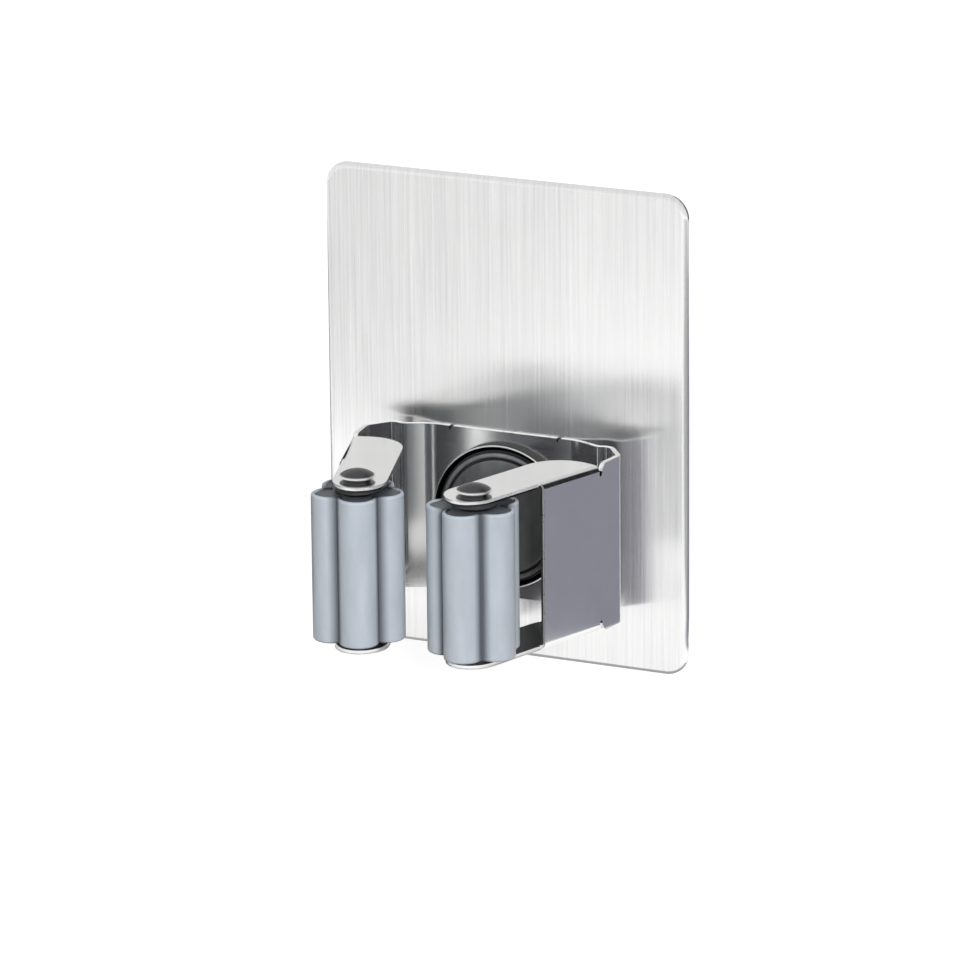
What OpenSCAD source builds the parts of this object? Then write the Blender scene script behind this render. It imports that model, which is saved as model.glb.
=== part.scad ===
// Wall holder for a mop or broom handle: a brushed steel plate that sticks to the wall,
// carrying a spring steel clip whose two arms grip the handle between rubber rollers.
// Millimetres. X is to the right, Y goes into the wall, Z is up.
// The origin is the centre of the adhesive face that meets the wall.

/* [Back plate] */
// Width of the back plate
plate_w = 80; // [72:1:120]
// Height of the back plate
plate_h = 100; // [90:1:150]
// Thickness of the back plate
plate_t = 1.2; // [0.8:0.1:2]
// Radius of the plate's corners
plate_corner_r = 5; // [2:0.5:12]
// Thickness of the adhesive pad behind the plate
pad_t = 0.8; // [0.4:0.1:2]
// Border of plate left round the adhesive pad
pad_inset = 3; // [1:0.5:8]

/* [Spring strip] */
// Height of the spring steel strip
strip_h = 34.4; // [30:0.2:42]
// Thickness of the spring steel
strip_t = 1; // [0.8:0.1:1.2]
// Distance of the clip's middle below the plate's middle
clip_drop = 20; // [10:1:28]
// Half width of the flat part that lies on the plate
flat_half_w = 16.4; // [16:0.2:19]
// Width of the ramp that lifts off the plate
ramp_run = 5.4; // [4.5:0.1:7]
// Height that the ramp lifts to its crest
ramp_rise = 2.35; // [1.6:0.05:3]
// Width of the dip beyond the crest
valley_run = 2.3; // [2.1:0.1:3]
// Depth of the dip below the crest
valley_drop = 0.95; // [0.6:0.05:1.2]
// Width of the last slope, out to the corner
corner_run = 3.95; // [3:0.05:5]
// Height of the last slope, out to the corner
corner_rise = 5.1; // [4:0.1:6.5]

/* [Arms] */
// Clear gap between the two rollers at rest
mouth_gap = 6.4; // [3:0.2:10]
// Length of plain strip from the flex line to the relief notch
rear_run = 6.2; // [5:0.1:9]
// Inward lean of that plain strip, in degrees
rear_lean = 7; // [3:0.5:10]
// Length of the arm's side web, from the notch to its front edge
web_len = 16.4; // [14:0.2:20]
// Distance of the axle ahead of the web's front edge
axle_ahead = 14.4; // [12.5:0.2:18]
// Width of the arm's flanges
flange_w = 11.4; // [10:0.2:13]
// Radius of the flange's inner heel
heel_r = 8; // [4:0.5:10]
// Inside radius of the bend between web and flange
bend_in_r = 0.4; // [0.2:0.1:0.8]

/* [Rollers] */
// Number of lobes round a roller
lobes = 5; // [4:1:6]
// Radius of the ring that the lobe centres lie on
lobe_ring_r = 5.6; // [5.2:0.1:6.5]
// Radius of one rubber lobe
lobe_r = 3.9; // [3.6:0.1:4.4]
// Thickness of the rubber over the core's lobes
skin_t = 1.2; // [0.8:0.1:1.5]
// Thickness of the washers at the roller's ends
washer_t = 0.9; // [0.5:0.1:1.2]

/* [Axles and rivets] */
// Radius of the axle rivet's shank
axle_r = 2; // [1.6:0.1:2.2]
// Radius of the axle rivet's domed head
axle_head_r = 3.6; // [3:0.1:4.4]
// Height of the axle rivet's head above the flange
axle_head_h = 2.2; // [1.8:0.1:2.8]
// Outside radius of the spacer tube that the roller turns on
tube_r = 3; // [2.7:0.1:3.3]
// Radius of the shank that fixes the clip to the plate
fix_r = 2; // [1.6:0.1:2.4]

/* [Centre bumper] */
// Border of strip above and below the steel cup
cup_margin = 2.2; // [1:0.1:3]
// Wall of the steel cup
cup_t = 0.8; // [0.5:0.1:1]
// Height of the cup's wall
cup_h = 2; // [1.4:0.1:2.6]
// Height of the bumper's edge above the strip
bumper_edge_h = 2; // [1.8:0.1:2.6]
// Extra height of the bumper's middle over its edge
bumper_crown = 1.4; // [1:0.1:2]

/* [Hidden] */
$fn = 96;
// Length by which a cutting body runs past what it cuts
overrun = 1;
// Points along each bend of the strip
bend_steps = 10;
// Sides of the large circles that low domes are cut from
dome_steps = 360;

// Radii of the strip's bends, on its middle line
ramp_bend_r = 4.5;
crest_bend_r = 1.4;
valley_bend_r = 1.4;
corner_bend_r = 1.5;
notch_bend_r = 3;
// Distance of the flex line past the corner
flex_offset = 1.4;
// Gap between an arm's rounded end and its seat in the base
flex_clear = 0.05;
// Step from the strip's faces in to that rounded end
flex_step = 0.03;
// Relief notch at the end of each flange
notch_r = 0.55;
notch_depth = 2.4;
notch_flare = 1.7;
// Small nicks in the edges of the base strip
nick_r = 0.45;
nick_x_share = 0.73;

// Gaps: a piece that turns, a piece pushed over a shank, the play at a roller's ends
spin_clear = 0.05;
shank_clear = 0.04;
axial_clear = 0.05;
end_play = 0.2;

// Rims, heads and tails
washer_rim = 1.5;
collar_h = 0.6;
collar_rim = 0.8;
head_edge_h = 0.3;
tail_r = 2.8;
tail_h = 1;
tail_round_r = 0.4;
fix_head_r = 4;
fix_head_h = 1.1;
fix_head_edge_h = 0.3;
fix_tail_r = 3.2;
fix_tail_h = 0.9;
pocket_clear = 0.15;
bumper_clear = 0.1;
core_recess = 0.3;
hub_share = 1.04;
core_hub_share = 0.86;
pad_corner_share = 0.7;

// Turn of each roller's lobes at rest, in degrees
right_phase = -90;
left_phase = -65;

// Faces, counted from the wall
plate_front = pad_t + plate_t;
bend_out_r = bend_in_r + strip_t;
inner_half_h = strip_h / 2 - strip_t;
roller_len = 2 * (inner_half_h - washer_t - end_play);
roller_r = lobe_ring_r + lobe_r;
cup_r = strip_h / 2 - cup_margin;
bumper_r = cup_r - cup_t - bumper_clear;
web_out = strip_t / 2;
axle_in = flange_w / 2 - web_out;

// Plan of the strip's right half, on its middle line, from the plate's front face
flat_start = [0, -strip_t / 2];
flat_end = [flat_half_w, -strip_t / 2];
crest = flat_end + [ramp_run, -ramp_rise];
valley = crest + [valley_run, valley_drop];
corner = valley + [corner_run, -corner_rise];
rear_heading = -90 - rear_lean;
flex = corner + flex_offset * unit(rear_heading);
notch = flex + rear_run * unit(rear_heading);

// The arm leans in until its axle stands half the mouth and one roller from the middle
axle_x = mouth_gap / 2 + roller_r;
axle_reach = web_len + axle_ahead;
arm_span = sqrt(axle_reach * axle_reach + axle_in * axle_in);
arm_lean = asin((notch[0] - axle_x) / arm_span) - atan(axle_in / axle_reach);
arm_heading = -90 - arm_lean;
axle = notch + axle_reach * unit(arm_heading) + axle_in * unit(arm_heading - 90);

// Plan geometry: headings in degrees, points as [x, y]
function unit(a) = [cos(a), sin(a)];
function heading_of(v) = atan2(v[1], v[0]);
function turn_of(a, b) = ((b - a + 540) % 360) - 180;

// Points round one filleted corner of a path, each as [point, heading]
function bend_points(before, at, after, r) =
    let (
        a = heading_of(at - before),
        turn = turn_of(a, heading_of(after - at)),
        side = sign(turn),
        start = at - r * tan(abs(turn) / 2) * unit(a),
        centre = start + side * r * unit(a + 90)
    )
    [for (i = [0 : bend_steps]) let (h = a + turn * i / bend_steps) [centre - side * r * unit(h + 90), h]];

// A path with its corners filleted, as a list of [point, heading]
function filleted(points, radii) =
    let (last = len(points) - 1)
    concat(
        [[points[0], heading_of(points[1] - points[0])]],
        [for (i = [1 : last - 1]) each bend_points(points[i - 1], points[i], points[i + 1], radii[i - 1])],
        [[points[last], heading_of(points[last] - points[last - 1])]]
    );

// The outline of a sheet of thickness t along a path of [point, heading]
function sheet_outline(path, t) =
    let (last = len(path) - 1)
    concat(
        [for (p = path) p[0] + t / 2 * unit(p[1] + 90)],
        [for (i = [last : -1 : 0]) path[i][0] - t / 2 * unit(path[i][1] + 90)]
    );

// The same path seen in a mirror across the middle plane, in the reverse order
function mirrored(path) = [for (i = [len(path) - 1 : -1 : 1]) [[-path[i][0][0], path[i][0][1]], -path[i][1]]];

// Frames that the pieces are placed in
module at_clip() translate([0, -plate_front, -clip_drop]) children();
module at_axle() at_clip() translate(axle) children();
module at_web() at_clip() translate(notch) rotate(arm_heading) children();
module facing_front() rotate([90, 0, 0]) children();
module left_side() mirror([1, 0, 0]) children();

// Shapes that repeat
module round_rect(w, h, r) {
    square([w - 2 * r, h], center = true);
    square([w, h - 2 * r], center = true);
    for (x = [-1, 1], y = [-1, 1]) translate([x * (w / 2 - r), y * (h / 2 - r)]) circle(r);
}

module panel(w, h, t, r) facing_front() linear_extrude(t) round_rect(w, h, r);

module ring(r_in, r_out, h) {
    difference() {
        cylinder(r = r_out, h = h);
        translate([0, 0, -overrun]) cylinder(r = r_in, h = h + 2 * overrun);
    }
}

// Half profile of a low dome on a short straight edge
module dome_profile(r, edge_h, crown) {
    dome_r = (r * r + crown * crown) / (2 * crown);
    square([r, edge_h]);
    intersection() {
        translate([0, edge_h]) square([r, crown]);
        translate([0, edge_h + crown - dome_r]) circle(dome_r, $fn = dome_steps);
    }
}

// Wall fixing: the plate and the pad that sticks it to the wall
module adhesive_pad() {
    pad_r = plate_corner_r * pad_corner_share;
    color("whitesmoke") panel(plate_w - 2 * pad_inset, plate_h - 2 * pad_inset, pad_t, pad_r);
}

module fix_shape(gap, back) {
    facing_front() {
        shank_h = plate_t + strip_t + cup_t + fix_head_edge_h;
        translate([0, 0, -plate_t - back]) cylinder(r = fix_r + gap, h = shank_h + back);
        translate([0, 0, -plate_t]) cylinder(r1 = fix_tail_r + gap, r2 = fix_r + gap, h = fix_tail_h);
    }
}

module back_plate() {
    color("gainsboro") difference() {
        translate([0, -pad_t, 0]) panel(plate_w, plate_h, plate_t, plate_corner_r);
        at_clip() fix_shape(shank_clear, overrun);
    }
}

module centre_rivet() {
    color("silver") at_clip() {
        fix_shape(0, 0);
        translate([0, -strip_t - cup_t, 0]) facing_front() rotate_extrude()
            dome_profile(fix_head_r, fix_head_edge_h, fix_head_h - fix_head_edge_h);
    }
}

// Base of the spring strip, with a round seat at each flex line
module clip_base() {
    half = filleted(
        [flat_start, flat_end, crest, valley, corner, flex],
        [ramp_bend_r, crest_bend_r, valley_bend_r, corner_bend_r]
    );
    path = concat(mirrored(half), half);
    color("lightgrey") at_clip() difference() {
        linear_extrude(strip_h, center = true) polygon(sheet_outline(path, strip_t));
        for (side = [-1, 1]) translate([side * flex[0], flex[1]])
            cylinder(r = strip_t / 2 + flex_clear, h = strip_h + 2 * overrun, center = true);
        facing_front() translate([0, 0, -overrun]) cylinder(r = fix_r + shank_clear, h = strip_t + 2 * overrun);
        for (x = [-1, 1], z = [-1, 1]) translate([x * nick_x_share * flat_half_w, overrun, z * strip_h / 2])
            facing_front() cylinder(r = nick_r, h = strip_t + 2 * overrun);
    }
}

// Arm: a side web with a flange above and below, on a plain strip that runs back to the flex line.
// In the web's own plan, +X runs along the arm to the front and +Y points away from the handle.
module channel_section(grow_r, inset) {
    edge = web_out - inset;
    half_h = strip_h / 2 - inset;
    translate([edge - grow_r - flange_w, -half_h]) square([flange_w, 2 * half_h]);
    translate([edge - flange_w, grow_r - half_h]) square([flange_w, 2 * (half_h - grow_r)]);
    for (z = [-1, 1]) translate([edge - grow_r, z * (half_h - grow_r)]) circle(grow_r);
}

module flange_plan() {
    inner = web_out - flange_w;
    translate([notch_r + heel_r, inner]) square([axle_reach - notch_r - heel_r, flange_w]);
    translate([notch_r, inner + heel_r]) square([axle_reach - notch_r, flange_w - heel_r]);
    translate([notch_r + heel_r, inner + heel_r]) circle(heel_r);
    translate([axle_reach, -axle_in]) circle(flange_w / 2);
}

module channel() {
    intersection() {
        rotate([90, 0, 90]) linear_extrude(axle_reach + flange_w) difference() {
            channel_section(bend_out_r, 0);
            channel_section(bend_in_r, strip_t);
        }
        linear_extrude(strip_h, center = true) flange_plan();
    }
}

// The window that leaves only the flanges ahead of the web
module window() {
    window_h = 2 * inner_half_h;
    translate([web_len, -flange_w, -inner_half_h]) cube([axle_reach, 2 * flange_w, window_h]);
}

module relief_notch() {
    floor_z = strip_h / 2 - notch_depth + notch_r;
    rotate([90, 0, 0]) linear_extrude(2 * strip_t + 2 * overrun, center = true) {
        translate([0, floor_z]) circle(notch_r);
        polygon([
            [-notch_r, floor_z], [notch_r, floor_z], [notch_r, strip_h / 2 + overrun],
            [-notch_r - notch_flare, strip_h / 2 + overrun]
        ]);
    }
}

module arm() {
    web_start = notch + 2 * notch_r * unit(arm_heading);
    rear = filleted([flex, notch, web_start], [notch_bend_r]);
    difference() {
        union() {
            at_clip() linear_extrude(strip_h, center = true) polygon(sheet_outline(rear, strip_t));
            at_clip() translate(flex) cylinder(r = strip_t / 2 - flex_step, h = strip_h, center = true);
            at_web() channel();
        }
        at_web() window();
        at_web() for (z = [0, 1]) mirror([0, 0, z]) relief_notch();
        at_axle() cylinder(r = axle_r + shank_clear, h = strip_h + 2 * overrun, center = true);
    }
}

module right_arm() color("silver") arm();
module left_arm() color("silver") left_side() arm();

// Axle: a rivet through both flanges, a spacer tube that keeps them apart, and two washers
module axle_rivet() {
    at_axle() {
        translate([0, 0, -strip_h / 2 - tail_h]) cylinder(r = axle_r, h = strip_h + tail_h + collar_h);
        translate([0, 0, strip_h / 2]) cylinder(r = axle_r + collar_rim, h = collar_h + head_edge_h);
        translate([0, 0, strip_h / 2 + collar_h]) rotate_extrude()
            dome_profile(axle_head_r, head_edge_h, axle_head_h - collar_h - head_edge_h);
        translate([0, 0, -strip_h / 2 - tail_h]) rotate_extrude() {
            square([tail_r - tail_round_r, tail_h]);
            translate([0, tail_round_r]) square([tail_r, tail_h - tail_round_r]);
            translate([tail_r - tail_round_r, tail_round_r]) circle(tail_round_r);
        }
    }
}

module axle_tube() {
    tube_len = 2 * (inner_half_h - axial_clear);
    at_axle() translate([0, 0, -tube_len / 2]) ring(axle_r + shank_clear, tube_r, tube_len);
}

module upper_washer() {
    at_axle() translate([0, 0, inner_half_h - axial_clear - washer_t])
        ring(tube_r + spin_clear, tube_r + washer_rim, washer_t);
}

module lower_washer() {
    at_axle() translate([0, 0, axial_clear - inner_half_h])
        ring(tube_r + spin_clear, tube_r + washer_rim, washer_t);
}

module right_axle_rivet() color("dimgray") axle_rivet();
module left_axle_rivet() color("dimgray") left_side() axle_rivet();
module right_axle_tube() color("silver") axle_tube();
module left_axle_tube() color("silver") left_side() axle_tube();
module right_upper_washer() color("dimgray") upper_washer();
module left_upper_washer() color("dimgray") left_side() upper_washer();
module right_lower_washer() color("dimgray") lower_washer();
module left_lower_washer() color("dimgray") left_side() lower_washer();

// Roller: a hard lobed core that turns on the tube, under a soft lobed sleeve
module lobed(phase, hub_r, r) {
    circle(hub_r);
    for (k = [0 : lobes - 1]) rotate(phase + k * 360 / lobes) translate([lobe_ring_r, 0]) circle(r);
}

module core_plan(phase) lobed(phase, core_hub_share * lobe_ring_r, lobe_r - skin_t);

module roller_core(phase) {
    linear_extrude(roller_len - 2 * core_recess, center = true) difference() {
        core_plan(phase);
        circle(tube_r + spin_clear);
    }
}

module roller_sleeve(phase) {
    linear_extrude(roller_len, center = true) difference() {
        lobed(phase, hub_share * lobe_ring_r, lobe_r);
        core_plan(phase);
    }
}

module right_roller_core() color("darkslategray") at_axle() roller_core(right_phase);
module right_roller_sleeve() color("lightsteelblue") at_axle() roller_sleeve(right_phase);
module left_roller_core() color("darkslategray") left_side() at_axle() roller_core(180 - left_phase);
module left_roller_sleeve() color("lightsteelblue") left_side() at_axle() roller_sleeve(180 - left_phase);

// Centre of the clip: a steel cup on the strip, filled by a soft bumper for the handle
module at_strip_face() at_clip() translate([0, -strip_t, 0]) facing_front() children();

module centre_cup() {
    hole_r = fix_r + shank_clear;
    color("silver") at_strip_face() rotate_extrude() {
        translate([hole_r, 0]) square([cup_r - hole_r, cup_t]);
        translate([cup_r - cup_t, 0]) square([cup_t, cup_h]);
        translate([cup_r - cup_t / 2, cup_h]) circle(cup_t / 2);
    }
}

module centre_bumper() {
    color("black") at_strip_face() difference() {
        translate([0, 0, cup_t]) rotate_extrude()
            dome_profile(bumper_r, bumper_edge_h - cup_t, bumper_crown);
        translate([0, 0, cup_t - overrun])
            cylinder(r = fix_head_r + pocket_clear, h = fix_head_h + pocket_clear + overrun);
    }
}

adhesive_pad();
back_plate();
clip_base();
centre_cup();
centre_bumper();
centre_rivet();
right_arm();
right_axle_rivet();
right_axle_tube();
right_upper_washer();
right_lower_washer();
right_roller_core();
right_roller_sleeve();
left_arm();
left_axle_rivet();
left_axle_tube();
left_upper_washer();
left_lower_washer();
left_roller_core();
left_roller_sleeve();
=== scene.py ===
import math

import bpy
from mathutils import Matrix, Vector
from mathutils.geometry import delaunay_2d_cdt


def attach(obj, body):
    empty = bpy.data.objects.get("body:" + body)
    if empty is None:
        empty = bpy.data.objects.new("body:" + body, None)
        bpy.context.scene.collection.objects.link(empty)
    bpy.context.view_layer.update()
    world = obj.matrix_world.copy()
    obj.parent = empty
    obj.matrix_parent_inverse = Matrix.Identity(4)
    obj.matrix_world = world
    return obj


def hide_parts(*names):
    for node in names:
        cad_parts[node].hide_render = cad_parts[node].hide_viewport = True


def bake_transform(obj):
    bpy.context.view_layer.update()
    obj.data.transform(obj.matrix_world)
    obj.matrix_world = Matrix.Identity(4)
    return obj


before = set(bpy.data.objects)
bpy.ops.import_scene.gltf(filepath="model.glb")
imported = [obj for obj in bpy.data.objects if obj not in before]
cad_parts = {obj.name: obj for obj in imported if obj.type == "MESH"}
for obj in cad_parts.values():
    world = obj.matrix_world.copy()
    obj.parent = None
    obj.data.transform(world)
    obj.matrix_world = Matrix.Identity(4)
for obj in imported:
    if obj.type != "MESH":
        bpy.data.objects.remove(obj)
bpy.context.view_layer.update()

# A wall rack that grips a round handle between two rollers on spring arms.
# Sizes in millimetres, as in the part's source. X is to the right, Y goes into the wall, Z is up.
MM = 0.001
TINY = 1e-6  # less than this counts as nothing
SLACK = 1e-3  # room for rounding where lengths are compared

# Back plate and adhesive pad. A rounding is (how far it reaches in from the edge, how deep it goes).
PLATE_W, PLATE_H, PLATE_T = 80.0, 100.0, 1.2
PLATE_CORNER_R = 5.0
PLATE_BACK_ROUND = (0.15, 0.15)
PLATE_FRONT_ROUND = (1.3, 0.95)
PAD_T = 0.8
PAD_INSET = 3.0
PAD_CORNER_R = 3.5
PAD_BACK_ROUND = (0.2, 0.2)
PAD_FRONT_ROUND = (0.15, 0.15)
PLATE_FRONT = PAD_T + PLATE_T

# Spring strip: half of its flat base, then the steps in plan to its crest, its dip and its corner
STRIP_H, STRIP_T = 34.4, 1.0
CLIP_DROP = 20.0  # from the plate's middle down to the strip's middle
FLAT_HALF_W = 16.4
RAMP = (5.4, -2.35)
VALLEY = (2.3, 0.95)
CORNER = (3.95, -5.1)
RAMP_R, CREST_R, VALLEY_R, CORNER_R, NOTCH_BEND_R = 7.5, 2.2, 2.0, 1.6, 3.0
FLEX_OFFSET = 1.4  # from the corner to the flex line
REAR_RUN = 6.2  # from the flex line to the notch
REAR_LEAN = 7.0  # degrees
NICK_R, NICK_DEPTH = 0.45, 0.9
NICK_X = 0.73 * FLAT_HALF_W

# Arms
MOUTH_GAP = 6.4  # between the rollers
WEB_LEN = 16.4
AXLE_AHEAD = 14.4  # from the web's front edge to the axle
FLANGE_W = 11.4
HEEL_R = 8.0
BEND_IN_R = 0.4
NOTCH_R, NOTCH_DEPTH, NOTCH_FLARE = 0.55, 2.4, 1.5

# Rollers
LOBES = 5
LOBE_RING_R, LOBE_R = 5.6, 3.9
SKIN_T = 1.2
SLEEVE_HUB_R = 1.04 * LOBE_RING_R
CORE_HUB_R = 0.86 * LOBE_RING_R
ROLLER_LEN = 30.2
CORE_RECESS = 0.3
CORE_BORE_R = 3.05
RIGHT_PHASE, LEFT_PHASE = -90.0, -65.0  # heading of a roller's first lobe

# Axle rivets
AXLE_R = 2.0
HEAD_R, HEAD_H, HEAD_EDGE_H = 3.6, 2.2, 0.3
COLLAR_R, COLLAR_H = 2.8, 0.6
TAIL_R, TAIL_H = 2.8, 1.0

# Cup and bumper
FIX_R = 2.04
CUP_R, CUP_T, CUP_H = 15.0, 0.8, 2.0
BUMPER_R, BUMPER_EDGE_H, BUMPER_CROWN = 14.1, 2.0, 1.4


# Plan geometry: headings in degrees, points as 2D vectors


def unit(angle):
    return Vector((math.cos(math.radians(angle)), math.sin(math.radians(angle))))


def heading_of(v):
    return math.degrees(math.atan2(v.y, v.x))


def plan_spans(points, radii):
    """A path with filleted corners, as spans of (length, start, heading, degrees turned per mm)."""
    spans = []
    here = points[0]
    for i in range(1, len(points)):
        heading = heading_of(points[i] - points[i - 1])
        turn = trim = 0.0
        if i < len(points) - 1:
            after = heading_of(points[i + 1] - points[i])
            turn = (after - heading + 540) % 360 - 180
            trim = radii[i - 1] * math.tan(math.radians(abs(turn) / 2))
        spans.append(((points[i] - here).length - trim, here, heading, 0.0))
        if turn:
            length = radii[i - 1] * math.radians(abs(turn))
            spans.append((length, points[i] - trim * unit(heading), heading, turn / length))
            here = points[i] + trim * unit(after)
    return spans


def plan_at(spans, s):
    """The point and heading at distance s along such a path."""
    for length, start, heading, rate in spans:
        if s <= length:
            break
        s -= length
    if not rate:
        return start + s * unit(heading), heading
    radius = 1 / math.radians(rate)
    after = heading + rate * s
    return start + radius * (unit(heading + 90) - unit(after + 90)), after


def arc(centre, radius, first, last, steps):
    return [centre + radius * unit(first + (last - first) * i / steps) for i in range(steps + 1)]


# The strip's plan: base, ramp, crest, dip, corner, plain rear strip and side web
flat_start = Vector((0.0, -STRIP_T / 2))
flat_end = Vector((FLAT_HALF_W, -STRIP_T / 2))
crest = flat_end + Vector(RAMP)
valley = crest + Vector(VALLEY)
corner = valley + Vector(CORNER)
rear_heading = -90 - REAR_LEAN
flex = corner + FLEX_OFFSET * unit(rear_heading)
notch = flex + REAR_RUN * unit(rear_heading)

# The arm leans in so far that the rollers leave the mouth open
roller_r = LOBE_RING_R + LOBE_R
axle_in = FLANGE_W / 2 - STRIP_T / 2
axle_reach = WEB_LEN + AXLE_AHEAD
arm_span = math.hypot(axle_reach, axle_in)
arm_lean = math.degrees(math.asin((notch.x - MOUTH_GAP / 2 - roller_r) / arm_span)
                        - math.atan2(axle_in, axle_reach))
arm_heading = -90 - arm_lean
axle = notch + axle_reach * unit(arm_heading) + axle_in * unit(arm_heading - 90)


def arm_point(x, y):
    """A point of the arm's own plan: x along the arm from the notch, y away from the handle."""
    return notch + x * unit(arm_heading) + y * unit(arm_heading + 90)


# Mesh building


def clamp(value):
    return min(1.0, max(0.0, value))


def link_mesh(name, verts, faces, materials, face_slots=None):
    """A smooth mesh object from points in millimetres."""
    mesh = bpy.data.meshes.new(name)
    mesh.from_pydata([(x * MM, y * MM, z * MM) for x, y, z in verts], [], faces)
    for material in materials:
        mesh.materials.append(material)
    if face_slots:
        mesh.polygons.foreach_set("material_index", face_slots)
    mesh.shade_smooth()
    mesh.update()
    obj = bpy.data.objects.new(name, mesh)
    bpy.context.scene.collection.objects.link(obj)
    return obj


def even_normals(obj, angle):
    """Smooth shading that keeps flat faces flat and edges sharper than angle sharp."""
    obj.data.set_sharp_from_angle(angle=math.radians(angle))
    weighted = obj.modifiers.new("even_normals", "WEIGHTED_NORMAL")
    weighted.keep_sharp = True
    weighted.weight = 80
    return obj


def mark(obj, values):
    """Gives each vertex the number that finishes read as painted light and shade."""
    obj.data.attributes.new("painted_light", "FLOAT", "POINT").data.foreach_set("value", values)


def ring_stack(rings, closed=False):
    """Vertices and faces of a skin over rings that all have the same number of points. A closed
    skin joins its last ring to its first one; any other has a cap at both ends."""
    count = len(rings[0])
    last = len(rings) - 1
    verts = [p for ring in rings for p in ring]
    faces = []
    pairs = [(i, i + 1) for i in range(last)]
    if closed:
        pairs.append((last, 0))
    for a, b in pairs:
        for k in range(count):
            n = (k + 1) % count
            faces.append((a * count + k, a * count + n, b * count + n, b * count + k))
    if not closed:
        faces.append(tuple(range(count - 1, -1, -1)))
        faces.append(tuple(range(last * count, (last + 1) * count)))
    return verts, faces


def outward(verts, faces):
    """The faces, turned so that the closed skin they form faces out."""
    volume = 0.0
    for face in faces:
        a = Vector(verts[face[0]])
        for i in range(1, len(face) - 1):
            volume += a.dot(Vector(verts[face[i]]).cross(Vector(verts[face[i + 1]])))
    return faces if volume > 0 else [tuple(reversed(f)) for f in faces]


AXIS_R = 0.02  # a turned skin keeps this radius on its axis


def lathe(name, profile, place, material, painted_light, steps, closed=False):
    """Turns a profile of (radius, height) about an axis; place maps (x, y, height) into the frame.
    painted_light(radius, height) gives each point of the profile the number that the finish reads as
    painted light and shade."""
    rings = []
    for r, h in profile:
        r = max(r, AXIS_R)
        turns = [2 * math.pi * k / steps for k in range(steps)]
        rings.append([place((r * math.cos(turn), r * math.sin(turn), h)) for turn in turns])
    verts, faces = ring_stack(rings, closed)
    obj = link_mesh(name, verts, outward(verts, faces), [material])
    mark(obj, [painted_light(r, h) for r, h in profile for _ in range(steps)])
    return even_normals(obj, angle=40)


def round_corners(points, radii, steps=6):
    """A profile of (x, y) points whose inner corners are rounded by the given radii."""
    pts = [Vector(p) for p in points]
    made = [pts[0]]
    for i in range(1, len(pts) - 1):
        a = (pts[i] - pts[i - 1]).normalized()
        b = (pts[i + 1] - pts[i]).normalized()
        turn = math.atan2(a.x * b.y - a.y * b.x, a.dot(b))
        r = radii[i - 1]
        if not r or abs(turn) < TINY:
            made.append(pts[i])
            continue
        trim = r * math.tan(abs(turn) / 2)
        side = Vector((-a.y, a.x)) * math.copysign(1, turn)
        centre = pts[i] - trim * a + r * side
        for k in range(steps + 1):
            made.append(centre + Matrix.Rotation(turn * k / steps, 2) @ (-r * side))
    made.append(pts[-1])
    return [(p.x, p.y) for p in made]


def round_rect(w, h, r, y, steps=12):
    """A ring of points round a rectangle with rounded corners, at depth y."""
    ring = []
    for k, (sx, sz) in enumerate(((1, 1), (-1, 1), (-1, -1), (1, -1))):
        centre = Vector((sx * (w / 2 - r), sz * (h / 2 - r)))
        ring += [(p.x, y, p.y) for p in arc(centre, r, 90 * k, 90 * k + 90, steps)]
    return ring


# Materials


def grey(level):
    return (level, level, level)


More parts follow.
